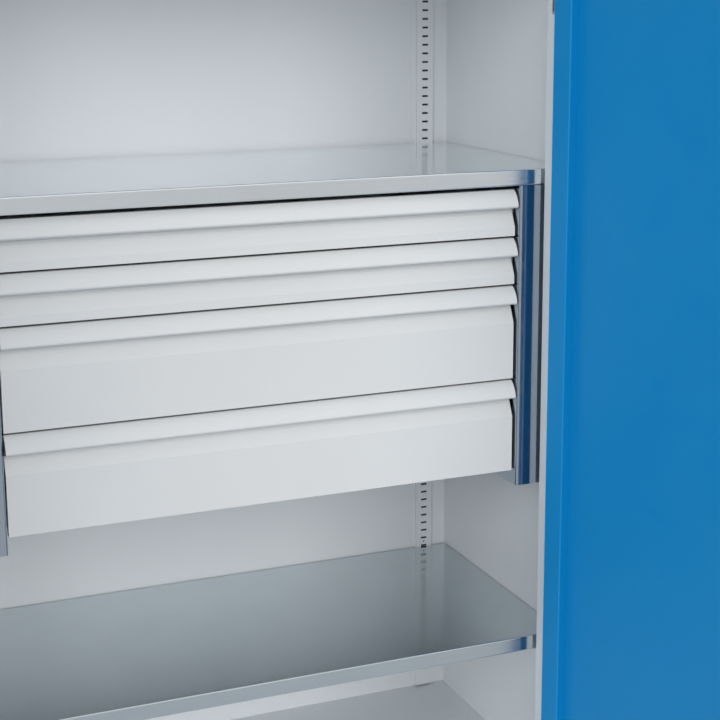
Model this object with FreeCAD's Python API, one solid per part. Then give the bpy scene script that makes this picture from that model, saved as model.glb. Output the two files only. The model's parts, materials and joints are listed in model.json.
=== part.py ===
import FreeCAD, Part
import math
import os

# Heavy-duty storage cabinet with two hinged doors, a block of four drawers
# under an upper shelf, and a lower shelf. Millimetres. X is to the right as
# seen from the front, Y is to the rear, Z is up. The origin is on the floor
# at the middle of the cabinet's footprint.

# Whole cabinet
width = 1300.0
depth = 650.0
height = 2000.0
sheet = 1.5
bend_radius = 1.5

# Plinth and floor
floor_stiffener_places = [-400.0, 0.0, 400.0]
floor_stiffener_width = 60.0
floor_stiffener_foot = 20.0
plinth_height = 80.0
plinth_side_recess = 12.0
plinth_front_recess = 40.0
plinth_flange = 40.0
sill_foot = 20.0
bearer_width = 60.0
sill_height = 32.0
rebate_lip = 8.0

# Front frame that the doors close into
frame_width = 67.0
door_thickness = 28.0
header_height = 45.0
header_lip = 12.0
stop_clearance = 0.3
rod_slot_half = 3.0
rod_slot_play = 1.5

# Back panel, and the rear flanges of the sides
back_recess = 12.0
rear_flange = 25.0
wall_hole_radius = 4.5
wall_hole_spacing = 900.0
wall_hole_below_top = 110.0

# Slotted rails that the shelves and the drawer block hook into
slot_pitch = 20.0
slot_width = 15.0
slot_height = 4.6
first_slot = 210.5
last_slot_below_header = 60.0
rail_face = 41.0
rail_proud = 10.0
rail_from_wall = 39.5
rail_wall_flange = 25.5
rail_inner_flange = 11.5
front_slot_from_wall = 33.5
strip_flange = 6.0
front_slot_step = 4
rail_hole_radius = 2.0
rail_end_gap = 4.0
hook_clearance = 0.5
hook_reach = 6.0
hook_drop = 8.0
hook_lug = 2.5

# Shelves
upper_shelf_top = 1500.0
lower_shelf_slot = 14
lower_shelf_below_slot = 2.5
shelf_setback = 36.5
shelf_side_gap = 2.5
shelf_rail_gap = 0.5
shelf_lip = 33.0
shelf_lip_return = 20.0
shelf_flange = 25.0
clip_width = 20.0
clip_sheet = 2.0
clip_ledge = 24.0
clip_below_slot = 12.0

# Drawer block
drawer_pitches = [100.0, 100.0, 200.0, 200.0]
front_gap = 5.0
stack_below_housing_top = 9.0
housing_below_stack = 26.0
housing_shelf_gap = 0.3
post_outer_from_wall = 8.5
side_plate_from_frame = 51.7
post_bend_radius = 4.5
post_return = 15.0
housing_flange = 75.0
housing_rail_gap = 0.3
tie_depth = 36.0
tie_height = 35.0

# Drawer fronts, measured from the flat of the front
drawer_sheet = 1.2
front_end_gap = 4.3
flat_setback = 12.0
handle_nose = 15.0
handle_top_back = 6.0
handle_height = 36.0
nose_radius = 5.0
shoulder_front = 6.3
shoulder_down = 11.9
finger_back = 15.5
finger_top = 42.0
finger_bottom = 77.5
front_body_depth = 17.0

# Drawer boxes
runner_space = 13.5
box_rear_from_rail = 41.0
box_floor_rise = 6.0
box_side_below_pitch = 22.0
box_hem = 7.0
box_face_below_top = 4.0

# Telescopic runners
runner_sheet = 1.2
runner_height = 45.0
runner_clearance = 0.4
runner_web_clearance = 0.5
runner_rise = 36.0
runner_front_gap = 2.5
fixed_mouth_gap = 3.2
middle_mouth_gap = 1.1

# Doors, drawn closed
door_end_gap = 3.0
door_hinge_gap = 3.5
door_middle_gap = 3.0
door_stile = 41.0
stile_skin_gap = 0.2
door_plate = 1.5
door_rod_play = 1.0
stop_strip_width = 34.0
stop_strip_cover = 14.0
stop_strip_step = 0.8
stop_strip_step_back = 4.0
stop_strip_step_run = 2.0
stop_strip_sheet = 1.5
door_open_angle = 116.5

# Hinges
pin_from_frame = 6.5
pin_from_front = 5.0
pin_radius = 3.0
pin_clearance = 0.05
knuckle_radius = 5.6
hinge_from_door_end = 120.0
knuckle_length = 34.0
knuckle_gap = 0.5
lug_sheet = 4.0
lug_half = 5.0
leaf_sheet = 2.5
leaf_from_front = 3.0
leaf_depth = 22.0
bracket_depth = 16.0
bracket_from_pin = 8.0
hinge_notch_gap = 1.0

# Rod lock on the right door
lock_from_middle = 70.0
lock_height = 1050.0
crank_radius = 12.0
crank_pin_radius = 3.0
crank_pin_proud = 1.5
crank_sheet = 3.0
crank_width = 15.0
crank_from_front = 13.0
rod_sheet = 3.0
rod_width = 12.0
rod_eye_width = 17.0
rod_eye_height = 17.0
rod_taper = 6.0
rod_play = 0.65
rod_crank_gap = 1.2
rod_retracted = 1.5
guide_length = 16.0
guide_wall = 4.0
guide_clearance = 0.4
guide_from_end = 300.0
spindle_width = 9.0
spindle_clearance = 0.8
plate_width = 44.0
plate_height = 130.0
plate_thickness = 5.0
plate_chamfer = 1.5
lever_length = 125.0
lever_hub_radius = 19.0
lever_end_radius = 11.0
lever_thickness = 14.0
lever_standoff = 14.0
lever_chamfer = 2.5
neck_radius = 11.0
neck_clearance = 0.05
neck_end_gap = 0.5
barrel_radius = 8.0
barrel_clearance = 0.05
barrel_depth = 12.0
barrel_end_gap = 0.3
barrel_proud = 1.5
key_slot_length = 9.0
key_slot_width = 2.0
key_slot_depth = 6.0

# How far a cutter runs past the face it cuts
overcut = 1.0

# Planes that several pieces share
half_width = width / 2
wall_x = half_width - sheet
reveal_x = wall_x - frame_width
front_y = -depth / 2
rear_y = depth / 2
frame_back_y = front_y + door_thickness
back_y = rear_y - back_recess
rail_y = back_y - rail_proud
lid_z = height - sheet
sill_z = plinth_height + sill_height
header_z = height - header_height
rail_x = wall_x - rail_from_wall - rail_face / 2
front_slot_x = wall_x - front_slot_from_wall
slot_count = int((header_z - last_slot_below_header - first_slot) / slot_pitch) + 1


def slot_z(index):
    """Height of the middle of a slot, counted from the lowest."""
    return first_slot + slot_pitch * index


lower_shelf_top = slot_z(lower_shelf_slot) - lower_shelf_below_slot
shelf_front_y = front_y + shelf_setback
shelf_rear_y = rail_y - shelf_rail_gap
shelf_half = wall_x - shelf_side_gap
housing_top = upper_shelf_top - shelf_lip - housing_shelf_gap
stack_top = housing_top - stack_below_housing_top
housing_bottom = stack_top - sum(drawer_pitches) - housing_below_stack
side_plate_x = reveal_x - side_plate_from_frame
post_outer_x = wall_x - post_outer_from_wall
housing_rear_y = rail_y - housing_rail_gap
flat_y = shelf_front_y + flat_setback
front_half = side_plate_x - front_end_gap
box_half = side_plate_x - runner_space
box_front_y = flat_y + front_body_depth
box_rear_y = rail_y - box_rear_from_rail
door_bottom = sill_z + door_end_gap
door_top = header_z - door_end_gap
door_hinge_x = reveal_x - door_hinge_gap
door_free_x = door_middle_gap / 2
pin_x = reveal_x + pin_from_frame
pin_y = front_y + pin_from_front


def place(plane, u, v, w):
    """A point from two coordinates in a plane and one across it."""
    if plane == "xy":
        return FreeCAD.Vector(u, v, w)
    if plane == "yz":
        return FreeCAD.Vector(w, u, v)
    return FreeCAD.Vector(u, w, v)


def folded_sheet(points, thick, radii, plane, start, stop, side):
    """Sheet metal folded along the points of one of its faces.

    The metal lies to the left of the path where side is 1 and to its right
    where it is -1. Each fold has its inside radius, and 0 is a sharp fold.
    """
    path = [FreeCAD.Vector(u, v, 0) for u, v in points]
    along = []
    for here, after in zip(path, path[1:]):
        step = after - here
        step.normalize()
        along.append(step)
    normals = [FreeCAD.Vector(-a.y, a.x, 0) * side for a in along]
    face_a = [[path[0]]]
    face_b = [[path[0] + normals[0] * thick]]
    for i, radius in enumerate(radii):
        here = path[i + 1]
        mitre = (normals[i] + normals[i + 1]) / (1 + normals[i].dot(normals[i + 1]))
        if radius == 0:
            face_a.append([here])
            face_b.append([here + mitre * thick])
            continue
        inside = along[i + 1].dot(normals[i]) > 0
        radius_a = radius + thick if inside else radius
        radius_b = radius if inside else radius + thick
        to_centre = 1 if inside else -1
        centre = here + mitre * (to_centre * radius_a)
        middle = (normals[i] + normals[i + 1]).normalize() * -to_centre
        first = centre - normals[i] * (to_centre * radius_a)
        second = centre - normals[i + 1] * (to_centre * radius_a)
        face_a.append([first, centre + middle * radius_a, second])
        face_b.append([first + normals[i] * thick, centre + middle * radius_b,
                       second + normals[i + 1] * thick])
    face_a.append([path[-1]])
    face_b.append([path[-1] + normals[-1] * thick])
    outline = face_a + [list(reversed(step)) for step in reversed(face_b)]
    edges = []
    previous = outline[-1][-1]
    for step in outline:
        edges.append(segment(previous, step[0], plane, start))
        if len(step) == 3:
            edges.append(arc(step, plane, start))
        previous = step[-1]
    across = place(plane, 0, 0, stop - start)
    return Part.Face(Part.Wire(edges)).extrude(across)


def segment(a, b, plane, w):
    """A straight edge in a plane."""
    return Part.makeLine(place(plane, a.x, a.y, w), place(plane, b.x, b.y, w))


def arc(three, plane, w):
    """An arc through three points of a plane."""
    return Part.Arc(*[place(plane, p.x, p.y, w) for p in three]).toShape()


def block(x0, x1, y0, y1, z0, z1):
    """A plain block between two corners."""
    return Part.makeBox(x1 - x0, y1 - y0, z1 - z0, FreeCAD.Vector(x0, y0, z0))


def round_bar(x, y, z, radius, length, axis="z"):
    """A round bar that starts at a point and runs along an axis."""
    along = {"x": (1, 0, 0), "y": (0, 1, 0), "z": (0, 0, 1)}[axis]
    start = FreeCAD.Vector(x, y, z)
    return Part.makeCylinder(radius, length, start, FreeCAD.Vector(*along))


def join(shapes):
    """One solid from pieces that touch or overlap."""
    return shapes[0].fuse(shapes[1:]).removeSplitter()


def group(shapes):
    """Separate solids kept together."""
    return Part.makeCompound(shapes)


def mirrored(shape):
    """The same piece on the other side of the cabinet."""
    return shape.mirror(FreeCAD.Vector(0, 0, 0), FreeCAD.Vector(1, 0, 0))


def opened(shape):
    """A piece of the closed right door, swung to the door's open place."""
    swung = shape.copy()
    axis = FreeCAD.Vector(0, 0, 1)
    swung.rotate(FreeCAD.Vector(pin_x, pin_y, 0), axis, door_open_angle)
    return swung


os.makedirs("parts", exist_ok=True)


def save(name, shape):
    """Write one node."""
    if not shape.isValid():
        raise ValueError(name + " is not valid")
    shape.exportStep("parts/" + name + ".step")


def save_pair(name, shape):
    """Write a right-hand piece and its mirror image on the left."""
    save(name + "_right", shape)
    save(name + "_left", mirrored(shape))


# Hinge places along the door, used by the frame's notches and the leaves
hinge_heights = [door_bottom + hinge_from_door_end, door_top - hinge_from_door_end]
bracket_half = knuckle_length / 2 + knuckle_gap + lug_sheet
notch_half = bracket_half + hinge_notch_gap
notch_width = pin_from_frame + knuckle_radius + hinge_notch_gap
notch_depth = pin_from_front + knuckle_radius + hinge_notch_gap

# Side panels: outer sheet, front face and reveal are one folded sheet
side_path = [
    (half_width - rear_flange, rear_y),
    (half_width, rear_y),
    (half_width, front_y),
    (reveal_x, front_y),
    (reveal_x, frame_back_y),
]
side_panel = folded_sheet(
    side_path, sheet, [0, bend_radius, bend_radius], "xy", plinth_height, lid_z, -1)
for z in hinge_heights:
    side_panel = side_panel.cut(block(
        reveal_x - overcut, reveal_x + notch_width, front_y - overcut, front_y + notch_depth,
        z - notch_half, z + notch_half))
save_pair("side_panel", side_panel)


def slots(x, y0, y1, indexes):
    """Cutters for a column of slots."""
    cutters = []
    for i in indexes:
        cutters.append(block(x - slot_width / 2, x + slot_width / 2, y0, y1,
                             slot_z(i) - slot_height / 2, slot_z(i) + slot_height / 2))
    return group(cutters)


# Slotted strips that close the back of the front frame
strip_path = [
    (reveal_x + sheet, frame_back_y - strip_flange),
    (reveal_x + sheet, frame_back_y),
    (wall_x, frame_back_y),
    (wall_x, frame_back_y - strip_flange),
]
rail_bottom = sill_z + rail_end_gap
rail_top = header_z - rail_end_gap
front_strip = folded_sheet(strip_path, sheet, [0, 0], "xy", rail_bottom, rail_top, -1)
front_strip = front_strip.cut(slots(
    front_slot_x, frame_back_y - sheet - overcut, frame_back_y + overcut,
    range(0, slot_count, front_slot_step)))
save_pair("front_slot_strip", front_strip)

# Slotted rails on the back panel, a hat section with its face to the front
rail_right = wall_x - rail_from_wall
rail_left = rail_right - rail_face
rail_path = [
    (rail_right + rail_wall_flange, back_y - sheet),
    (rail_right, back_y - sheet),
    (rail_right, rail_y),
    (rail_left, rail_y),
    (rail_left, back_y - sheet),
    (rail_left - rail_inner_flange, back_y - sheet),
]
shelf_rail = folded_sheet(rail_path, sheet, [0, 0, 0, 0], "xy", rail_bottom, rail_top, -1)
shelf_rail = shelf_rail.cut(slots(
    rail_x, rail_y - overcut, rail_y + sheet + overcut, range(slot_count)))
shelf_rail = shelf_rail.cut(round_bar(
    rail_x, rail_y - overcut, slot_z(lower_shelf_slot) + slot_pitch / 2, rail_hole_radius,
    sheet + 2 * overcut, "y"))
save_pair("shelf_rail", shelf_rail)

# Back panel, a shallow tray with holes for wall fixings
back_path = [
    (wall_x, rear_y - sheet),
    (wall_x, back_y),
    (-wall_x, back_y),
    (-wall_x, rear_y - sheet),
]
back_panel = folded_sheet(back_path, sheet, [0, 0], "xy", plinth_height, lid_z, -1)
wall_hole_z = height - wall_hole_below_top
for x in (-wall_hole_spacing / 2, wall_hole_spacing / 2):
    back_panel = back_panel.cut(round_bar(
        x, back_y - overcut, wall_hole_z, wall_hole_radius, sheet + 2 * overcut, "y"))
save("back_panel", back_panel)

# Top panel with a flange turned down at the rear
top_sheet = block(-half_width, half_width, front_y, rear_y, lid_z, height)
top_flange = block(
    -half_width + rear_flange, half_width - rear_flange, rear_y - sheet, rear_y,
    lid_z - rear_flange, height)
save("top_panel", join([top_sheet, top_flange]))

# Slots in the header and the sill that the lock rods enter
upper_rod_x = lock_from_middle - crank_radius * (1 + math.cos(math.pi / 4)) / 2
lower_rod_x = lock_from_middle + crank_radius * (1 + math.cos(math.pi / 4)) / 2
rod_front_y = front_y + crank_from_front + crank_sheet + rod_crank_gap
rod_back_y = rod_front_y + rod_sheet


def rod_opening(x, z, tall, play):
    """A cutter for the opening that a flat lock rod passes."""
    return block(x - rod_width / 2 - play, x + rod_width / 2 + play,
                 rod_front_y - play, rod_back_y + play, z - tall, z + tall)


# Header rail over the doors, with the lip that they close against
header_path = [
    (front_y, lid_z),
    (front_y, header_z),
    (frame_back_y + stop_clearance, header_z),
    (frame_back_y + stop_clearance, header_z - header_lip),
]
header_rail = folded_sheet(
    header_path, sheet, [bend_radius, 0], "yz", -reveal_x, reveal_x, 1)
header_rail = header_rail.cut(rod_opening(
    upper_rod_x, header_z, rod_slot_half, rod_slot_play))
save("header_rail", header_rail)

# Sill rail under the doors
sill_path = [
    (front_y + sill_foot, plinth_height),
    (front_y, plinth_height),
    (front_y, sill_z),
    (frame_back_y + stop_clearance, sill_z),
    (frame_back_y + stop_clearance, sill_z + rebate_lip),
]
sill_rail = folded_sheet(
    sill_path, sheet, [0, bend_radius, 0], "yz", -reveal_x, reveal_x, -1)
sill_rail = sill_rail.cut(rod_opening(
    lower_rod_x, sill_z, rod_slot_half, rod_slot_play))
save("sill_rail", sill_rail)

# Floor panel, a tray upside down between the sides
floor_front_y = frame_back_y + stop_clearance + sheet
floor_path = [
    (floor_front_y, plinth_height),
    (floor_front_y, sill_z),
    (back_y, sill_z),
    (back_y, plinth_height),
]
floor_panel = folded_sheet(floor_path, sheet, [0, 0], "yz", -wall_x, wall_x, -1)
save("floor_panel", floor_panel)

# Stiffeners under the floor, which carry it on the plinth
floor_stiffeners = []
for x in floor_stiffener_places:
    half = floor_stiffener_width / 2
    path = [
        (x - half - floor_stiffener_foot, plinth_height),
        (x - half, plinth_height),
        (x - half, sill_z - 2 * sheet),
        (x + half, sill_z - 2 * sheet),
        (x + half, plinth_height),
        (x + half + floor_stiffener_foot, plinth_height),
    ]
    floor_stiffeners.append(folded_sheet(
        path, sheet, [0, 0, 0, 0], "xz", floor_front_y + sheet, back_y - sheet, 1))
save("floor_stiffeners", group(floor_stiffeners))

# Plinth: a ring of upright sheet with flanges, and a bearer across the middle
plinth_x = half_width - plinth_side_recess
plinth_y = front_y + plinth_front_recess
ring = block(-plinth_x, plinth_x, plinth_y, rear_y, 0, plinth_height)
ring_hollow = block(
    -plinth_x + sheet, plinth_x - sheet, plinth_y + sheet, rear_y - sheet,
    sheet, plinth_height - sheet)
ring_mouth = block(
    -plinth_x + plinth_flange, plinth_x - plinth_flange,
    plinth_y + plinth_flange, rear_y - plinth_flange, -overcut, plinth_height + overcut)
bearer_path = [
    (-bearer_width / 2, 0),
    (-bearer_width / 2, plinth_height),
    (bearer_width / 2, plinth_height),
    (bearer_width / 2, 0),
]
bearer = folded_sheet(
    bearer_path, sheet, [0, 0], "xz", plinth_y + sheet, rear_y - sheet, -1)
bearer_foot = block(
    -bearer_width / 2, bearer_width / 2, plinth_y + sheet, rear_y - sheet, 0, sheet)
plinth = join([ring.cut(ring_hollow).cut(ring_mouth), bearer, bearer_foot])
save("plinth", plinth)


def shelf(top):
    """A folded shelf with a deep front lip and flanges on the other sides."""
    path = [
        (shelf_rear_y, top - shelf_flange),
        (shelf_rear_y, top),
        (shelf_front_y, top),
        (shelf_front_y, top - shelf_lip),
        (shelf_front_y + shelf_lip_return, top - shelf_lip),
    ]
    radii = [0, bend_radius, bend_radius]
    body = folded_sheet(path, sheet, radii, "yz", -shelf_half, shelf_half, 1)
    flanges = []
    for x in (-shelf_half, shelf_half - sheet):
        flanges.append(block(
            x, x + sheet, shelf_front_y + sheet, shelf_rear_y - sheet,
            top - shelf_flange, top - sheet / 2))
    return join([body] + flanges)


save("upper_shelf", shelf(upper_shelf_top))
save("lower_shelf", shelf(lower_shelf_top))


def shared_slot(z):
    """The highest slot at or below a height that front and rear rails both have."""
    return int((z - first_slot) / slot_pitch / front_slot_step) * front_slot_step


def hook(x, y, z, outward):
    """A tongue through a slot with a lug turned down behind the sheet."""
    wide = slot_width / 2 - hook_clearance
    tall = slot_height / 2 - hook_clearance
    reach = y + outward * hook_reach
    lug = reach - outward * hook_lug
    tongue = block(x - wide, x + wide, min(y, reach), max(y, reach), z - tall, z + tall)
    drop = block(x - wide, x + wide, min(lug, reach), max(lug, reach),
                 z - tall - hook_drop, z + tall)
    return [tongue, drop]


# Clips that carry the lower shelf, one at each corner
clips = []
lip_z = lower_shelf_top - shelf_lip
flange_z = lower_shelf_top - shelf_flange
clip_slot = shared_slot(lip_z - slot_height / 2)
front_clip = join([
    block(front_slot_x - clip_width / 2, front_slot_x + clip_width / 2,
          frame_back_y, frame_back_y + clip_sheet,
          slot_z(clip_slot) - clip_below_slot, lip_z),
    block(front_slot_x - clip_width / 2, front_slot_x + clip_width / 2,
          frame_back_y, frame_back_y + clip_ledge, lip_z - clip_sheet, lip_z),
] + hook(front_slot_x, frame_back_y, slot_z(clip_slot), -1))
rear_clip = join([
    block(rail_x - clip_width / 2, rail_x + clip_width / 2,
          rail_y - clip_sheet, rail_y, slot_z(clip_slot) - clip_below_slot, flange_z),
    block(rail_x - clip_width / 2, rail_x + clip_width / 2,
          rail_y - clip_ledge, rail_y, flange_z - clip_sheet, flange_z),
] + hook(rail_x, rail_y, slot_z(clip_slot), 1))
for clip in (front_clip, rear_clip):
    clips.append(clip)
    clips.append(mirrored(clip))
save("shelf_clips", group(clips))

# Sides of the drawer block: post, side plate and rear flange in one sheet
housing_path = [
    (post_outer_x, shelf_front_y + post_return),
    (post_outer_x, shelf_front_y),
    (side_plate_x, shelf_front_y),
    (side_plate_x, housing_rear_y),
    (side_plate_x + housing_flange, housing_rear_y),
]
housing_side = folded_sheet(
    housing_path, sheet, [0, post_bend_radius, 0], "xy", housing_bottom, housing_top, -1)
save_pair("housing_side", housing_side)

# Hooks of the drawer block, front and rear, near its top and its foot
hook_indexes = [shared_slot(housing_top - slot_pitch),
                shared_slot(housing_bottom + slot_pitch) + front_slot_step]
housing_hooks = []
for i in hook_indexes:
    wide = slot_width / 2 - hook_clearance
    spacer = block(front_slot_x - wide, front_slot_x + wide, frame_back_y, shelf_front_y,
                   slot_z(i) - hook_drop, slot_z(i) + hook_drop)
    front_hook = join([spacer] + hook(front_slot_x, frame_back_y, slot_z(i), -1))
    pad = block(rail_x - wide, rail_x + wide, housing_rear_y, rail_y,
                slot_z(i) - hook_drop, slot_z(i) + hook_drop)
    rear_hook = join([pad] + hook(rail_x, rail_y, slot_z(i), 1))
    for piece in (front_hook, rear_hook):
        housing_hooks.append(piece)
        housing_hooks.append(mirrored(piece))
save("housing_hooks", group(housing_hooks))

# Tie rails across the rear of the drawer block, the upper one under the shelf
tie_tops = [upper_shelf_top - shelf_flange, housing_bottom + tie_height]
tie_rails = []
for top in tie_tops:
    path = [
        (housing_rear_y, top - tie_height),
        (housing_rear_y, top),
        (housing_rear_y - tie_depth, top),
        (housing_rear_y - tie_depth, top - tie_height / 2),
    ]
    tie_rails.append(folded_sheet(
        path, sheet, [0, 0], "yz", -side_plate_x, side_plate_x, 1))
save("housing_tie_rails", group(tie_rails))


def channel(x_web, x_mouth, half_tall, y0, y1, z):
    """A runner member: a channel along Y with its web at one side."""
    lip_a = (x_mouth, z + half_tall)
    web_a = (x_web, z + half_tall)
    web_b = (x_web, z - half_tall)
    lip_b = (x_mouth, z - half_tall)
    side = 1 if x_web < x_mouth else -1
    path = [lip_a, web_a, web_b, lip_b]
    return folded_sheet(path, runner_sheet, [0, 0], "xz", y0, y1, side)


# Runner members, from the fixed one on the side plate to the one on the drawer
runner_y0 = box_front_y + runner_front_gap
runner_y1 = box_rear_y
outer_half = runner_height / 2
middle_half = outer_half - runner_sheet - runner_clearance
inner_half = middle_half - runner_sheet - runner_clearance
middle_web_x = side_plate_x - runner_sheet - runner_web_clearance
inner_tip_x = middle_web_x - runner_sheet - 2 * runner_web_clearance
outer_mouth_x = box_half + fixed_mouth_gap
middle_mouth_x = box_half + runner_sheet + middle_mouth_gap


def front_profile(z, tall, x):
    """Outer profile of a drawer front, and the profile of the space inside it."""
    nose_y = flat_y - handle_nose
    deep_y = flat_y + finger_back
    top_y = flat_y + handle_top_back
    low = z + tall - handle_height

    def at(y, height):
        return FreeCAD.Vector(x, y, height)

    foot_back = at(box_front_y, z)
    foot = at(flat_y, z)
    recess_low = at(flat_y, z + tall - finger_bottom)
    recess_top = at(deep_y, z + tall - finger_top)
    under_nose = at(nose_y + nose_radius, low)
    nose_turn = nose_radius * (1 - math.sin(math.pi / 4))
    nose_middle = at(nose_y + nose_turn, low + nose_turn)
    nose_front = at(nose_y, low + nose_radius)
    shoulder = at(flat_y - shoulder_front, z + tall - shoulder_down)
    crown = at(top_y, z + tall)
    crown_back = at(box_front_y, z + tall)
    outer = Part.Wire([
        Part.makeLine(foot_back, foot),
        Part.makeLine(foot, recess_low),
        Part.makeLine(recess_low, recess_top),
        Part.makeLine(recess_top, under_nose),
        Part.Arc(under_nose, nose_middle, nose_front).toShape(),
        Part.Arc(nose_front, shoulder, crown).toShape(),
        Part.makeLine(crown, crown_back),
        Part.makeLine(crown_back, foot_back),
    ])
    corners = [foot_back, foot, recess_low, recess_top, nose_middle, nose_front, shoulder,
               crown, crown_back]
    straight = Part.Face(Part.makePolygon(corners + corners[:1]))
    return outer, straight.makeOffset2D(-drawer_sheet)


def drawer_front(z, tall):
    """A drawer front: flat face, finger recess and rounded full-width handle."""
    outer, inner = front_profile(z, tall, -front_half)
    length = 2 * front_half
    body = Part.Face(outer).extrude(FreeCAD.Vector(length, 0, 0))
    hollow = inner.extrude(FreeCAD.Vector(length - 2 * drawer_sheet, 0, 0))
    hollow.translate(FreeCAD.Vector(drawer_sheet, 0, 0))
    back = hollow.copy()
    back.translate(FreeCAD.Vector(0, 2 * drawer_sheet, 0))
    return body.cut(hollow).cut(back)


def drawer_box(z, pitch):
    """An open tray: floor and sides in one sheet, with front and rear walls."""
    low = z + box_floor_rise
    high = z + pitch - box_side_below_pitch
    y0 = box_front_y + drawer_sheet
    path = [
        (box_half - box_hem, high),
        (box_half, high),
        (box_half, low),
        (-box_half, low),
        (-box_half, high),
        (-box_half + box_hem, high),
    ]
    tray = folded_sheet(path, drawer_sheet, [0, 0, 0, 0], "xz", y0, box_rear_y, -1)
    face = block(-box_half, box_half, box_front_y, y0,
                 low, z + pitch - front_gap - box_face_below_top)
    rear = block(-box_half + drawer_sheet, box_half - drawer_sheet,
                 box_rear_y - drawer_sheet, box_rear_y,
                 low + drawer_sheet / 2, high - drawer_sheet / 2)
    return join([tray, face, rear])


fixed_runners = []
top = stack_top
for number, pitch in enumerate(drawer_pitches, 1):
    bottom = top - pitch + front_gap
    save("drawer_front_%d" % number, drawer_front(bottom, pitch - front_gap))
    save("drawer_box_%d" % number, drawer_box(bottom, pitch))
    z = bottom + runner_rise
    fixed = channel(side_plate_x, outer_mouth_x, outer_half, runner_y0, runner_y1, z)
    middle = channel(middle_web_x, middle_mouth_x, middle_half, runner_y0, runner_y1, z)
    inner = channel(box_half, inner_tip_x, inner_half, runner_y0, runner_y1, z)
    fixed_runners += [fixed, mirrored(fixed)]
    save("runner_middle_%d" % number, group([middle, mirrored(middle)]))
    save("runner_inner_%d" % number, group([inner, mirrored(inner)]))
    top -= pitch
save("runner_fixed", group(fixed_runners))

# Door panel: skin and both box-shaped stiles are one folded sheet
stile_end_y = front_y + sheet + stile_skin_gap
panel_path = [
    (door_hinge_x - door_stile, stile_end_y),
    (door_hinge_x - door_stile, frame_back_y),
    (door_hinge_x, frame_back_y),
    (door_hinge_x, front_y),
    (door_free_x, front_y),
    (door_free_x, frame_back_y),
    (door_free_x + door_stile, frame_back_y),
    (door_free_x + door_stile, stile_end_y),
]
panel_radii = [bend_radius, bend_radius, bend_radius, bend_radius, 0, 0]
door_panel = folded_sheet(
    panel_path, sheet, panel_radii, "xy", door_bottom + door_plate, door_top - door_plate, -1)


def door_rail(z_edge, z_inner, plate_z):
    """A box-shaped rail between the stiles, with a plate that closes the end."""
    side = 1 if z_inner < z_edge else -1
    path = [
        (stile_end_y, z_inner),
        (frame_back_y, z_inner),
        (frame_back_y, z_edge),
    ]
    x0 = door_free_x + door_stile
    x1 = door_hinge_x - door_stile
    web = folded_sheet(path, sheet, [0], "yz", x0, x1, side)
    plate = block(door_free_x, door_hinge_x, front_y, frame_back_y, *plate_z)
    return join([web, plate])


top_rail = door_rail(door_top, door_top - door_stile, (door_top - door_plate, door_top))
bottom_rail = door_rail(
    door_bottom, door_bottom + door_stile, (door_bottom, door_bottom + door_plate))
door_rails = group([top_rail, bottom_rail])
right_rails = group([
    top_rail.cut(rod_opening(upper_rod_x, door_top - door_stile / 2, door_stile, door_rod_play)),
    bottom_rail.cut(rod_opening(
        lower_rod_x, door_bottom + door_stile / 2, door_stile, door_rod_play)),
])
hole_half = spindle_width / math.sqrt(2) + spindle_clearance
spindle_hole = block(
    lock_from_middle - hole_half, lock_from_middle + hole_half, front_y - overcut,
    front_y + sheet + overcut, lock_height - hole_half, lock_height + hole_half)
save("door_right_panel", opened(door_panel.cut(spindle_hole)))
save("door_left_panel", mirrored(opened(door_panel)))
save("door_right_rails", opened(right_rails))
save("door_left_rails", mirrored(opened(door_rails)))

# Strip on the left door's inner face that the right door closes over
strip_x1 = -door_free_x + stop_strip_cover
strip_end_gap = door_end_gap + rebate_lip + header_lip
step_x = -door_free_x - stop_strip_step_back
stop_path = [
    (strip_x1 - stop_strip_width, frame_back_y),
    (step_x, frame_back_y),
    (step_x + stop_strip_step_run, frame_back_y + stop_strip_step),
    (strip_x1, frame_back_y + stop_strip_step),
]
stop_strip = folded_sheet(
    stop_path, stop_strip_sheet, [0, 0], "xy",
    door_bottom + strip_end_gap, door_top - strip_end_gap, 1)
save("door_left_stop_strip", mirrored(opened(mirrored(stop_strip))))

# Hinges: a leaf with a knuckle on the door, a bracket with a fixed pin on the frame
door_leaves = []
frame_brackets = []
bracket_x = reveal_x + sheet
for z in hinge_heights:
    low = z - knuckle_length / 2
    high = z + knuckle_length / 2
    knuckle = round_bar(pin_x, pin_y, low, knuckle_radius, knuckle_length)
    leaf = block(door_hinge_x, door_hinge_x + leaf_sheet, front_y + leaf_from_front,
                 front_y + leaf_from_front + leaf_depth, low, high)
    bridge = block(door_hinge_x, pin_x, pin_y - leaf_sheet / 2, pin_y + leaf_sheet / 2,
                   low, high)
    bore = round_bar(pin_x, pin_y, low - overcut, pin_radius + pin_clearance,
                     knuckle_length + 2 * overcut)
    door_leaves.append(join([knuckle, leaf, bridge]).cut(bore))
    pieces = [round_bar(pin_x, pin_y, low - knuckle_gap, pin_radius,
                        knuckle_length + 2 * knuckle_gap)]
    pieces.append(block(
        bracket_x, bracket_x + leaf_sheet, pin_y + bracket_from_pin, pin_y + bracket_depth,
        z - bracket_half, z + bracket_half))
    for z0 in (z - bracket_half, high + knuckle_gap):
        pieces.append(block(
            bracket_x, pin_x + lug_half, pin_y - lug_half + knuckle_gap,
            pin_y + bracket_depth, z0, z0 + lug_sheet))
    frame_brackets.append(join(pieces))
save("hinge_leaves_right", opened(group(door_leaves)))
save("hinge_leaves_left", mirrored(opened(group(door_leaves))))
save_pair("hinge_brackets", group(frame_brackets))

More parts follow.
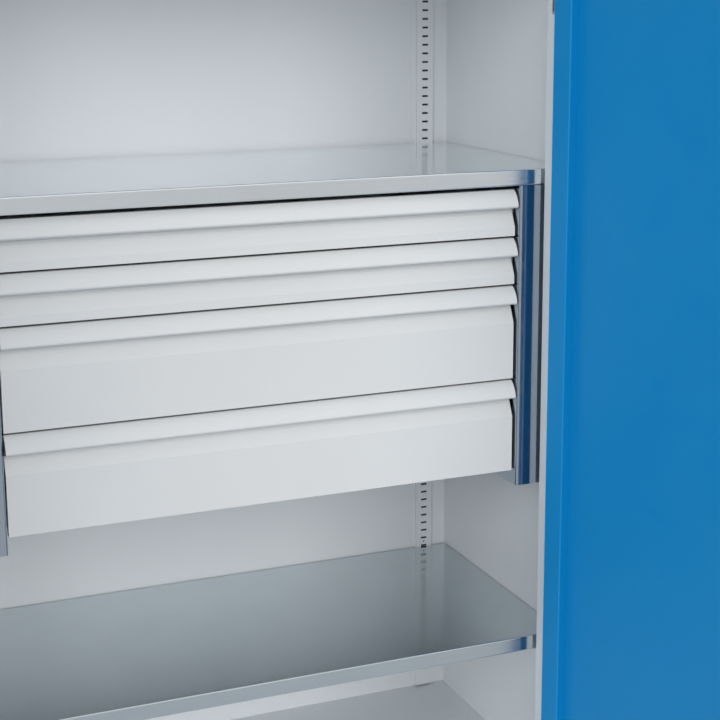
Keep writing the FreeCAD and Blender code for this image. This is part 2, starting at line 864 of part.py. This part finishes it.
# Rod lock. The crank lies at 45 degrees when the rods are drawn in
crank_y0 = front_y + crank_from_front
crank_reach = crank_radius * math.cos(math.pi / 4)
crank_pin_length = rod_crank_gap + rod_sheet + crank_pin_proud
crank_half = crank_radius + crank_width / 2
crank_plate = block(
    lock_from_middle - crank_half, lock_from_middle + crank_half,
    crank_y0, crank_y0 + crank_sheet,
    lock_height - crank_width / 2, lock_height + crank_width / 2)
crank_plate.rotate(
    FreeCAD.Vector(lock_from_middle, crank_y0, lock_height), FreeCAD.Vector(0, 1, 0), -45)
crank_pieces = [crank_plate]
for side in (-1, 1):
    crank_pieces.append(round_bar(
        lock_from_middle + side * crank_reach, crank_y0 + crank_sheet,
        lock_height + side * crank_reach, crank_pin_radius, crank_pin_length, "y"))
save("lock_crank", opened(join(crank_pieces)))


def lock_rod(x, z_pin, z_end):
    """A flat rod from its slotted eye on the crank pin to its chamfered end."""
    up = 1 if z_end > z_pin else -1
    eye = block(x - rod_eye_width / 2, x + rod_eye_width / 2, rod_front_y, rod_back_y,
                z_pin - rod_eye_height / 2, z_pin + rod_eye_height / 2)
    half = rod_width / 2
    outline = [
        (x - half, z_pin),
        (x + half, z_pin),
        (x + half, z_end - up * rod_taper),
        (x + half / 2, z_end),
        (x - half / 2, z_end),
        (x - half, z_end - up * rod_taper),
    ]
    corners = [FreeCAD.Vector(u, rod_front_y, v) for u, v in outline]
    bar = Part.Face(Part.makePolygon(corners + corners[:1]))
    bar = bar.extrude(FreeCAD.Vector(0, rod_sheet, 0))
    travel = crank_radius - crank_reach
    wide = travel / 2 + crank_pin_radius + rod_play
    tall = crank_pin_radius + rod_play
    window = block(x - wide, x + wide, rod_front_y - overcut, rod_back_y + overcut,
                   z_pin - tall, z_pin + tall)
    return join([eye, bar]).cut(window)


rod_upper = lock_rod(upper_rod_x, lock_height - crank_reach, door_top - rod_retracted)
rod_lower = lock_rod(lower_rod_x, lock_height + crank_reach, door_bottom + rod_retracted)
save("lock_rod_upper", opened(rod_upper))
save("lock_rod_lower", opened(rod_lower))

# Guide blocks that hold the rods to the door's skin
guides = []
for x, z in ((upper_rod_x, door_top - guide_from_end),
             (upper_rod_x, lock_height + guide_from_end / 2),
             (lower_rod_x, lock_height - guide_from_end / 2),
             (lower_rod_x, door_bottom + guide_from_end)):
    body = block(x - rod_width / 2 - guide_wall, x + rod_width / 2 + guide_wall,
                 front_y + sheet, rod_back_y + guide_wall,
                 z - guide_length / 2, z + guide_length / 2)
    guides.append(body.cut(rod_opening(x, z, guide_length, guide_clearance)))
save("lock_rod_guides", opened(group(guides)))

# Handle: plate on the skin, lever with its neck, spindle, and the key barrel
plate_y = front_y - plate_thickness
plate = block(lock_from_middle - plate_width / 2, lock_from_middle + plate_width / 2,
              plate_y, front_y, lock_height - plate_height / 2, lock_height + plate_height / 2)
plate = plate.makeChamfer(plate_chamfer, [
    e for e in plate.Edges if e.BoundBox.YMax < front_y - plate_chamfer])
plate = plate.cut(round_bar(lock_from_middle, plate_y - overcut, lock_height,
                            neck_radius + neck_clearance, plate_thickness + 2 * overcut, "y"))
save("handle_plate", opened(plate))

lever_back_y = plate_y - lever_standoff
lever_front_y = lever_back_y - lever_thickness
lever_tip_x = lock_from_middle + lever_length
lean = (lever_hub_radius - lever_end_radius) / lever_length
touch = math.sqrt(1 - lean * lean)


def lever_point(x, radius, across, along):
    """A point on the round end of the lever's outline."""
    return FreeCAD.Vector(x + radius * along, lever_front_y, lock_height + radius * across)


hub_top = lever_point(lock_from_middle, lever_hub_radius, touch, lean)
hub_low = lever_point(lock_from_middle, lever_hub_radius, -touch, lean)
hub_end = lever_point(lock_from_middle, lever_hub_radius, 0, -1)
tip_top = lever_point(lever_tip_x, lever_end_radius, touch, lean)
tip_low = lever_point(lever_tip_x, lever_end_radius, -touch, lean)
tip_end = lever_point(lever_tip_x, lever_end_radius, 0, 1)
lever_outline = Part.Wire([
    Part.makeLine(hub_top, tip_top),
    Part.Arc(tip_top, tip_end, tip_low).toShape(),
    Part.makeLine(tip_low, hub_low),
    Part.Arc(hub_low, hub_end, hub_top).toShape(),
])
lever = Part.Face(lever_outline).extrude(FreeCAD.Vector(0, lever_thickness, 0))
lever = lever.makeChamfer(lever_chamfer, [
    e for e in lever.Edges if e.BoundBox.YMax < lever_front_y + 0.01])
neck = round_bar(lock_from_middle, lever_back_y, lock_height, neck_radius,
                 lever_standoff + plate_thickness - neck_end_gap, "y")
lever = join([lever, neck])
lever = lever.cut(round_bar(
    lock_from_middle, lever_front_y - overcut, lock_height, barrel_radius + barrel_clearance,
    overcut + barrel_depth, "y"))
save("handle_lever", opened(lever))

spindle_half = spindle_width / 2
spindle = block(
    lock_from_middle - spindle_half, lock_from_middle + spindle_half,
    front_y - neck_end_gap, crank_y0, lock_height - spindle_half, lock_height + spindle_half)
save("handle_spindle", opened(spindle))

barrel_y = lever_front_y - barrel_proud
barrel = round_bar(lock_from_middle, barrel_y, lock_height, barrel_radius,
                   barrel_proud + barrel_depth - barrel_end_gap, "y")
key_slot = block(lock_from_middle - key_slot_width / 2, lock_from_middle + key_slot_width / 2,
                 barrel_y - overcut, barrel_y + key_slot_depth,
                 lock_height - key_slot_length / 2, lock_height + key_slot_length / 2)
save("lock_barrel", opened(barrel.cut(key_slot)))
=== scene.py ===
import json
import math

import bpy
from mathutils import Matrix, Vector


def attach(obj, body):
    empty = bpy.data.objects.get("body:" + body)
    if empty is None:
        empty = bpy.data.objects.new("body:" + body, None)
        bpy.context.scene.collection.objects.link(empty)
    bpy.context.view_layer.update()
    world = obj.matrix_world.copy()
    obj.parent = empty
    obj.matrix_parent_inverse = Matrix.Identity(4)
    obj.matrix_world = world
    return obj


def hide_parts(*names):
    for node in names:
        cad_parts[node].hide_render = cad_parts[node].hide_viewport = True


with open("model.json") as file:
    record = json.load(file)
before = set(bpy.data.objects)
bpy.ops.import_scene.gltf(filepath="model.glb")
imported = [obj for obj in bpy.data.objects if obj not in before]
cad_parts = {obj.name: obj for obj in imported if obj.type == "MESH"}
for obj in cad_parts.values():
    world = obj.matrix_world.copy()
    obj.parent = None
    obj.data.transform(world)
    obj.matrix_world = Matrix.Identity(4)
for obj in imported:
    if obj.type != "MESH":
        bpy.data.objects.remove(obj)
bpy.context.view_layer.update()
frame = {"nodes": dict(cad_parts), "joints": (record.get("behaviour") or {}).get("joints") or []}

# Camera
# It stands to the left of the cabinet at eye height and looks down into the right half, past the
# open right door. Its place and angles come from a fit to edges seen in the photograph.
PICTURE = 720
SENSOR = 36.0
camera_place = Vector((-0.95997, -3.07133, 1.85860))
camera_turn = 22.23
camera_dip = 11.37
camera_roll = -0.30
focal_pixels = 1555.4
centre_pixel = (360.0, 302.4)
view_reach = 60.0
camera_data = bpy.data.cameras.new("camera")
camera_data.sensor_width = SENSOR
camera_data.lens = focal_pixels * SENSOR / PICTURE
camera_data.shift_x = (PICTURE / 2 - centre_pixel[0]) / PICTURE
camera_data.shift_y = (centre_pixel[1] - PICTURE / 2) / PICTURE
camera_data.clip_end = view_reach
camera = bpy.data.objects.new("camera", camera_data)
bpy.context.scene.collection.objects.link(camera)
turn = Matrix.Rotation(math.radians(-camera_turn), 4, "Z")
dip = Matrix.Rotation(math.radians(90.0 - camera_dip), 4, "X")
roll = Matrix.Rotation(math.radians(camera_roll), 4, "Z")
camera.matrix_world = Matrix.Translation(camera_place) @ turn @ dip @ roll
bpy.context.scene.camera = camera

# Floor
# A plain pale floor, large enough to meet the pale room far behind the cabinet.
floor_half = 40.0
floor_colour = (0.72, 0.73, 0.74, 1.0)
floor_roughness = 0.6
bpy.ops.object.select_all(action="DESELECT")
bpy.ops.mesh.primitive_grid_add(x_subdivisions=2, y_subdivisions=2, size=2 * floor_half)
floor = bpy.context.active_object
floor.name = "floor"
floor_material = bpy.data.materials.new("pale_floor")
floor_material.use_nodes = True
floor_shader = floor_material.node_tree.nodes["Principled BSDF"]
floor_shader.inputs["Base Color"].default_value = floor_colour
floor_shader.inputs["Roughness"].default_value = floor_roughness
floor.data.materials.append(floor_material)

# Light
# A pale room all round, two broad soft lights from the front, left and right, and a weaker one
# from above, so that the inside is lit without hard shadows.
room_colour = (0.975, 0.985, 1.0, 1.0)
room_light = 0.23
room_seen = 0.85
world = bpy.data.worlds.new("pale_room")
bpy.context.scene.world = world
world.use_nodes = True
room_nodes = world.node_tree.nodes
room_links = world.node_tree.links
room = room_nodes["Background"]
room.inputs["Color"].default_value = room_colour
ray = room_nodes.new("ShaderNodeLightPath")
seen = ray.outputs["Is Camera Ray"]
for kind in ("Is Glossy Ray", "Is Transmission Ray"):
    either = room_nodes.new("ShaderNodeMath")
    either.operation = "MAXIMUM"
    room_links.new(seen, either.inputs[0])
    room_links.new(ray.outputs[kind], either.inputs[1])
    seen = either.outputs["Value"]
level = room_nodes.new("ShaderNodeMapRange")
level.inputs["To Min"].default_value = room_light
level.inputs["To Max"].default_value = room_seen
room_links.new(seen, level.inputs["Value"])
room_links.new(level.outputs["Result"], room.inputs["Strength"])


def soft_light(name, towards, strength, spread_angle):
    """A broad light from far away. Bare zinc mirrors only the room, so no fold burns out."""
    light_data = bpy.data.lights.new(name, "SUN")
    light_data.energy = strength
    light_data.angle = math.radians(spread_angle)
    light = bpy.data.objects.new(name, light_data)
    bpy.context.scene.collection.objects.link(light)
    light.visible_glossy = False
    light.rotation_euler = Vector(towards).to_track_quat("-Z", "Y").to_euler()


soft_light("key_light", towards=(0.6, 0.8, -0.22), strength=1.45, spread_angle=45.0)
soft_light("fill_light", towards=(-0.38, 0.92, -0.22), strength=1.68, spread_angle=45.0)
soft_light("top_light", towards=(0.1, 0.35, -1.0), strength=0.7, spread_angle=70.0)
bpy.context.scene.view_settings.view_transform = "Standard"


# Painted body
# Side walls, top, header, sill, floor tray and slotted strips are folded steel sheet, powder
# coated in light grey with a fine orange-peel skin.
def srgb(red, green, blue):
    """A colour as painters measure it, 0 to 255, in the linear values that a shader takes."""
    linear = []
    for part in (red, green, blue):
        share = part / 255.0
        linear.append(share / 12.92 if share <= 0.04045 else ((share + 0.055) / 1.055) ** 2.4)
    return (*linear, 1.0)


def finish(names, material):
    """Puts a material into every slot of the named nodes."""
    for name in names:
        for held in frame["nodes"][name].material_slots:
            held.material = material


def noise(nodes, links, coords, scale, detail, roughness=0.5):
    """A noise pattern on the piece's own coordinates, 0 to 1."""
    texture = nodes.new("ShaderNodeTexNoise")
    texture.inputs["Scale"].default_value = scale
    texture.inputs["Detail"].default_value = detail
    texture.inputs["Roughness"].default_value = roughness
    links.new(coords, texture.inputs["Vector"])
    return texture.outputs["Fac"]


def stretched(nodes, links, coords, scale, rotation=(0.0, 0.0, 0.0)):
    """The piece's coordinates, scaled apart in each direction and turned."""
    mapping = nodes.new("ShaderNodeMapping")
    mapping.inputs["Rotation"].default_value = rotation
    mapping.inputs["Scale"].default_value = scale
    links.new(coords, mapping.inputs["Vector"])
    return mapping.outputs["Vector"]


def spread(nodes, links, value, low, high, start=0.3, stop=0.7):
    """Maps a texture value onto low to high."""
    ranged = nodes.new("ShaderNodeMapRange")
    ranged.inputs["From Min"].default_value = start
    ranged.inputs["From Max"].default_value = stop
    ranged.inputs["To Min"].default_value = low
    ranged.inputs["To Max"].default_value = high
    links.new(value, ranged.inputs["Value"])
    return ranged.outputs["Result"]


def mixed(nodes, links, share, first, second):
    """A colour between first and second. First is a colour or the output of a node."""
    mix = nodes.new("ShaderNodeMix")
    mix.data_type = "RGBA"
    links.new(share, mix.inputs["Factor"])
    if isinstance(first, tuple):
        mix.inputs["A"].default_value = first
    else:
        links.new(first, mix.inputs["A"])
    mix.inputs["B"].default_value = second
    return mix.outputs["Result"]


def calculated(nodes, links, operation, first, second):
    """Two values put through a Math node. Second is a number or the output of a node."""
    math_node = nodes.new("ShaderNodeMath")
    math_node.operation = operation
    links.new(first, math_node.inputs[0])
    if isinstance(second, float):
        math_node.inputs[1].default_value = second
    else:
        links.new(second, math_node.inputs[1])
    return math_node.outputs["Value"]


def bumped(nodes, links, height, shader, strength, distance):
    """Fine relief from a texture."""
    bump = nodes.new("ShaderNodeBump")
    bump.inputs["Strength"].default_value = strength
    bump.inputs["Distance"].default_value = distance
    links.new(height, bump.inputs["Height"])
    links.new(bump.outputs["Normal"], shader.inputs["Normal"])


def powder_coat(name, colour, shade, gloss_low, gloss_high, worn=0.0):
    """Powder coat on sheet steel: orange peel, faint cloudiness, and short dull scuffs."""
    cloud_scale = 2.2
    rub_scale = 14.0
    peel_scale = 700.0
    peel_height = 0.0003
    peel_strength = 0.02
    material = bpy.data.materials.new(name)
    material.use_nodes = True
    nodes = material.node_tree.nodes
    links = material.node_tree.links
    shader = nodes["Principled BSDF"]
    coords = nodes.new("ShaderNodeTexCoord").outputs["Object"]
    cloud = noise(nodes, links, coords, cloud_scale, 3.0)
    tone = mixed(nodes, links, spread(nodes, links, cloud, 0.0, 1.0), shade, colour)
    if worn > 0.0:
        scuff_turn = (0.5, 0.3, 0.2)
        scuff_scale = (6.0, 45.0, 45.0)
        slanted = stretched(nodes, links, coords, scuff_scale, scuff_turn)
        scuff = noise(nodes, links, slanted, 1.0, 5.0, 0.65)
        dull = spread(nodes, links, scuff, 0.0, worn, 0.58, 0.74)
        pale = tuple(min(1.0, part * 1.35 + 0.03) for part in colour[:3])
        tone = mixed(nodes, links, dull, tone, (*pale, 1.0))
    links.new(tone, shader.inputs["Base Color"])
    rub = noise(nodes, links, coords, rub_scale, 4.0)
    links.new(spread(nodes, links, rub, gloss_low, gloss_high), shader.inputs["Roughness"])
    peel = noise(nodes, links, coords, peel_scale, 2.0)
    bumped(nodes, links, peel, shader, peel_strength, peel_height)
    return material


light_grey = srgb(234, 237, 239)
light_grey_shade = srgb(230, 234, 236)
body_paint = powder_coat("body_grey_paint", light_grey, light_grey_shade, 0.36, 0.48)
finish(["side_panel_left", "side_panel_right", "top_panel", "header_rail", "sill_rail",
        "floor_panel", "floor_stiffeners", "front_slot_strip_left", "front_slot_strip_right",
        "shelf_rail_left", "shelf_rail_right"], body_paint)

# Back panel
# The same coat, with a dark grey painted shade on the sheet behind the two slotted rails, standing
# in for the shade in the rails' hollow. It only shows through the slots.
back_paint_and_rail_shade = powder_coat("back_panel_paint_with_rail_shade", light_grey, light_grey_shade, 0.36, 0.48)
rail_corners = [corner.co for corner in frame["nodes"]["shelf_rail_right"].data.vertices]
rail_inner = min(corner.x for corner in rail_corners)
rail_outer = max(corner.x for corner in rail_corners)
rail_rear = max(corner.y for corner in rail_corners)
rail_low = min(corner.z for corner in rail_corners)
rail_high = max(corner.z for corner in rail_corners)
within_sheet = 0.0004
# Dark grey painted shade for the hollow behind the rails, seen through the slots.
rail_hollow_shade = srgb(62, 66, 70)


def paint_shade_behind_rails(material):
    """Paints shade on the front of the back panel where the rails cover it."""
    nodes = material.node_tree.nodes
    links = material.node_tree.links
    shader = nodes["Principled BSDF"]
    paint = shader.inputs["Base Color"].links[0].from_socket
    place = nodes.new("ShaderNodeSeparateXYZ")
    links.new(nodes.new("ShaderNodeTexCoord").outputs["Object"], place.inputs["Vector"])
    sideways = nodes.new("ShaderNodeMath")
    sideways.operation = "ABSOLUTE"
    links.new(place.outputs["X"], sideways.inputs[0])
    rail_shade_mask = calculated(nodes, links, "GREATER_THAN", sideways.outputs["Value"], rail_inner)
    for value, operation, limit in (
            (sideways.outputs["Value"], "LESS_THAN", rail_outer),
            (place.outputs["Y"], "LESS_THAN", rail_rear + within_sheet),
            (place.outputs["Z"], "GREATER_THAN", rail_low),
            (place.outputs["Z"], "LESS_THAN", rail_high)):
        inside = calculated(nodes, links, operation, value, limit)
        rail_shade_mask = calculated(nodes, links, "MULTIPLY", rail_shade_mask, inside)
    links.new(mixed(nodes, links, rail_shade_mask, paint, rail_hollow_shade), shader.inputs["Base Color"])


paint_shade_behind_rails(back_paint_and_rail_shade)
finish(["back_panel"], back_paint_and_rail_shade)

# Plinth
# A folded frame of thicker sheet in dark grey, set back at the front and scuffed by shoes.
plinth_paint = powder_coat(
    "plinth_grey_paint", srgb(96, 102, 108), srgb(90, 96, 102), 0.4, 0.52, worn=0.6)
finish(["plinth"], plinth_paint)


# Shelves
# Cut and folded from bright zinc coated steel and left bare. The upper one covers the drawer
# block, and the lower one lies on four clips.
def bare_zinc(name, colour, shade, gloss_low, gloss_high, rolled):
    """Bare zinc on rolled sheet: cloudy, with fine streaks along the way it was rolled."""
    cloud_scale = 9.0
    streak_height = 0.0002
    streak_strength = 0.03
    material = bpy.data.materials.new(name)
    material.use_nodes = True
    nodes = material.node_tree.nodes
    links = material.node_tree.links
    shader = nodes["Principled BSDF"]
    shader.inputs["Metallic"].default_value = 1.0
    coords = nodes.new("ShaderNodeTexCoord").outputs["Object"]
    cloud = noise(nodes, links, coords, cloud_scale, 4.0)
    streak = noise(nodes, links, stretched(nodes, links, coords, rolled), 1.0, 3.0)
    both = calculated(nodes, links, "ADD", cloud, streak)
    tone = mixed(nodes, links, spread(nodes, links, both, 0.0, 1.0, 0.7, 1.3), shade, colour)
    links.new(tone, shader.inputs["Base Color"])
    links.new(spread(nodes, links, streak, gloss_low, gloss_high), shader.inputs["Roughness"])
    bumped(nodes, links, streak, shader, streak_strength, streak_height)
    return material


streak_length = 3.0
streak_width = 240.0
rolled_across = (streak_length, streak_width, streak_width)
rolled_deep = (streak_width, streak_length, streak_width)
rolled_upright = (streak_width, streak_width, streak_length)
zinc = bare_zinc(
    "galvanised_sheet", srgb(238, 244, 246), srgb(233, 239, 241), 0.09, 0.15, rolled_across)
finish(["upper_shelf"], zinc)
# The lower shelf and its clips take the same zinc in a darker colour: painted shade for their place
# in the shadow below the drawer block.
shaded_zinc = bare_zinc(
    "galvanised_sheet_shaded", srgb(209, 218, 222), srgb(203, 212, 216), 0.1, 0.17, rolled_across)
finish(["lower_shelf", "shelf_clips"], shaded_zinc)

# Drawer block
# Its two sides are zinc coated sheet with a rounded post at the front. Hooks carry them in the
# slots of the cabinet, and two rails tie them together at the rear.
housing_zinc = bare_zinc(
    "galvanised_housing", srgb(182, 191, 201), srgb(174, 184, 194), 0.07, 0.12, rolled_upright)
finish(["housing_side_left", "housing_side_right", "housing_hooks", "housing_tie_rails"],
       housing_zinc)

# Drawers
# Four folded trays, each with a folded front that is rounded to a handle over its full width,
# powder coated in light grey.
drawer_count = 4
drawer_paint = powder_coat(
    "drawer_grey_paint", srgb(207, 208, 207), srgb(203, 204, 203), 0.3, 0.42)
for number in range(1, drawer_count + 1):
    finish([f"drawer_front_{number}", f"drawer_box_{number}"], drawer_paint)

# Runners
# Telescopic runners of three rolled channels, zinc plated: one on the side of the drawer block,
# one on the drawer, and one that travels between them.
runner_zinc = bare_zinc(
    "runner_steel", srgb(196, 200, 204), srgb(184, 189, 193), 0.24, 0.36, rolled_deep)
finish(["runner_fixed"], runner_zinc)
for number in range(1, drawer_count + 1):
    finish([f"runner_inner_{number}", f"runner_middle_{number}"], runner_zinc)

# Doors
# Two folded steel doors, powder coated in blue on all sides. The left one carries the strip that
# the right one closes over.
door_paint = powder_coat("door_blue_paint", srgb(6, 132, 193), srgb(5, 129, 190), 0.34, 0.46)
finish(["door_left_panel", "door_left_rails", "door_left_stop_strip", "door_right_panel",
        "door_right_rails"], door_paint)

# Hinges and lock rods
# Zinc plated steel: leaves with knuckles on the doors, brackets with fixed pins on the frame, and
# the spindle, crank and two flat rods that lock the right door at the top and the bottom.
plated_steel = bare_zinc(
    "hinge_steel", srgb(190, 194, 198), srgb(178, 183, 188), 0.28, 0.4, rolled_upright)
finish(["hinge_brackets_left", "hinge_brackets_right", "hinge_leaves_left",
        "hinge_leaves_right"], plated_steel)
finish(["lock_rod_guides", "lock_rod_upper", "lock_rod_lower", "lock_crank", "handle_spindle"],
       plated_steel)

# Handle plate and lever
# Both are moulded in black plastic, with soft edges. The lever turns on the plate on a short
# neck and is polished a little by hands.
black = powder_coat(
    "black_plastic", srgb(30, 31, 33), srgb(26, 27, 29), 0.34, 0.5, worn=0.35)
merge_distance = 0.00001
flat_angle = math.radians(1.0)
edge_angle = math.radians(30.0)
smooth_angle = math.radians(40.0)
plate_edge = 0.0012
lever_edge = 0.0016


def rounded_copy(node, body, material, edge):
    """The same piece with its sharp edges rounded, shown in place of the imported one."""
    piece = bpy.data.objects.new(node + "_rounded", frame["nodes"][node].data.copy())
    bpy.context.scene.collection.objects.link(piece)
    bpy.ops.object.select_all(action="DESELECT")
    piece.select_set(True)
    bpy.context.view_layer.objects.active = piece
    bpy.ops.object.mode_set(mode="EDIT")
    bpy.ops.mesh.select_all(action="SELECT")
    bpy.ops.mesh.remove_doubles(threshold=merge_distance)
    bpy.ops.mesh.dissolve_limited(angle_limit=flat_angle)
    bpy.ops.object.mode_set(mode="OBJECT")
    bevel = piece.modifiers.new("edges", "BEVEL")
    bevel.width = edge
    bevel.segments = 4
    bevel.limit_method = "ANGLE"
    bevel.angle_limit = edge_angle
    bpy.ops.object.modifier_apply(modifier="edges")
    bpy.ops.object.shade_smooth_by_angle(angle=smooth_angle)
    piece.data.materials.clear()
    piece.data.materials.append(material)
    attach(piece, body)
    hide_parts(node)


rounded_copy("handle_plate", "door_right", black, plate_edge)
rounded_copy("handle_lever", "handle", black, lever_edge)

# Key barrel
# A turned metal barrel with a polished chrome face, held in the hub of the lever. The key slot
# shows in its face.
barrel_edge = 0.0004
chrome = bare_zinc(
    "barrel_chrome", srgb(232, 234, 236), srgb(224, 227, 230), 0.08, 0.14, rolled_upright)
rounded_copy("lock_barrel", "lock_barrel", chrome, barrel_edge)

# Handle screws
# Two steel screws with a hexagon socket hold the plate to the door, above and below the lever.
# They are drawn on the closed door and swung open with it.
pin_joint = next(joint for joint in frame["joints"] if joint["name"] == "door_right_swing")
handle_joint = next(joint for joint in frame["joints"] if joint["name"] == "handle_turn")
pin = Vector(pin_joint["pos_m"])
door_open = math.atan2(-handle_joint["axis"][0], handle_joint["axis"][1])
swing = Matrix.Translation(pin) @ Matrix.Rotation(door_open, 4, "Z") @ Matrix.Translation(-pin)
lock_closed = swing.inverted() @ Vector(handle_joint["pos_m"])
plate_front = min((swing.inverted() @ corner.co).y
                  for corner in frame["nodes"]["handle_plate"].data.vertices)
plate_screw = {"radius": 0.0042, "height": 0.0020, "socket_radius": 0.0018, "socket_depth": 0.0013}
plate_screw_from_lock = 0.052
plate_screw_sunk = 0.0012
rim_share = 0.35
facet_angle = math.radians(30.0)


def socket_screw(name, radius, height, socket_radius, socket_depth):
    """A flat screw head that stands on its own origin and looks up."""
    bpy.ops.object.select_all(action="DESELECT")
    bpy.ops.mesh.primitive_cylinder_add(
        vertices=48, radius=radius, depth=height, location=(0.0, 0.0, height / 2))
    screw = bpy.context.active_object
    bpy.ops.object.transform_apply(location=True, rotation=True, scale=True)
    screw.name = name
    rim = screw.modifiers.new("rim", "BEVEL")
    rim.width = height * rim_share
    rim.segments = 4
    rim.limit_method = "ANGLE"
    bpy.ops.object.modifier_apply(modifier="rim")
    bpy.ops.mesh.primitive_cylinder_add(
        vertices=6, radius=socket_radius, depth=2 * socket_depth, location=(0.0, 0.0, height))
    socket = bpy.context.active_object
    cut = screw.modifiers.new("socket", "BOOLEAN")
    cut.object = socket
    cut.operation = "DIFFERENCE"
    bpy.context.view_layer.objects.active = screw
    bpy.ops.object.modifier_apply(modifier="socket")
    bpy.data.objects.remove(socket)
    bpy.ops.object.select_all(action="DESELECT")
    screw.select_set(True)
    bpy.ops.object.shade_smooth_by_angle(angle=facet_angle)
    return screw


for end, side in (("upper", 1), ("lower", -1)):
    screw = socket_screw("handle_screw_" + end, **plate_screw)
    seat = Matrix.Translation((lock_closed.x, plate_front + plate_screw_sunk,
                               lock_closed.z + side * plate_screw_from_lock))
    screw.data.transform(swing @ seat @ Matrix.Rotation(math.radians(90.0), 4, "X"))
    screw.data.materials.append(plated_steel)
    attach(screw, "door_right")

# Runner screws
# Three low screws hold the inner member of each runner to the side of its drawer. They show in
# the open channel once the drawer is pulled out.
runner_screw = {"radius": 0.0045, "height": 0.0018, "socket_radius": 0.0019, "socket_depth": 0.0012}
inner_sheet = 0.0012
screw_from_front = 0.045
screw_from_rear = 0.06
for number in range(1, drawer_count + 1):
    corners = [corner.co for corner in frame["nodes"][f"runner_inner_{number}"].data.vertices]
    web = min(abs(corner.x) for corner in corners) + inner_sheet
    middle = (min(corner.z for corner in corners) + max(corner.z for corner in corners)) / 2
    first = min(corner.y for corner in corners) + screw_from_front
    last = max(corner.y for corner in corners) - screw_from_rear
    screws = []
    for side in (-1, 1):
        for reach in (first, (first + last) / 2, last):
            screw = socket_screw("runner_screw", **runner_screw)
            seat = Matrix.Translation((side * web, reach, middle))
            screw.data.transform(seat @ Matrix.Rotation(math.radians(side * 90.0), 4, "Y"))
            screws.append(screw)
    bpy.ops.object.select_all(action="DESELECT")
    for screw in screws:
        screw.select_set(True)
    bpy.context.view_layer.objects.active = screws[0]
    bpy.ops.object.join()
    screws[0].name = f"runner_screws_{number}"
    screws[0].data.materials.append(runner_zinc)
    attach(screws[0], f"drawer_{number}")
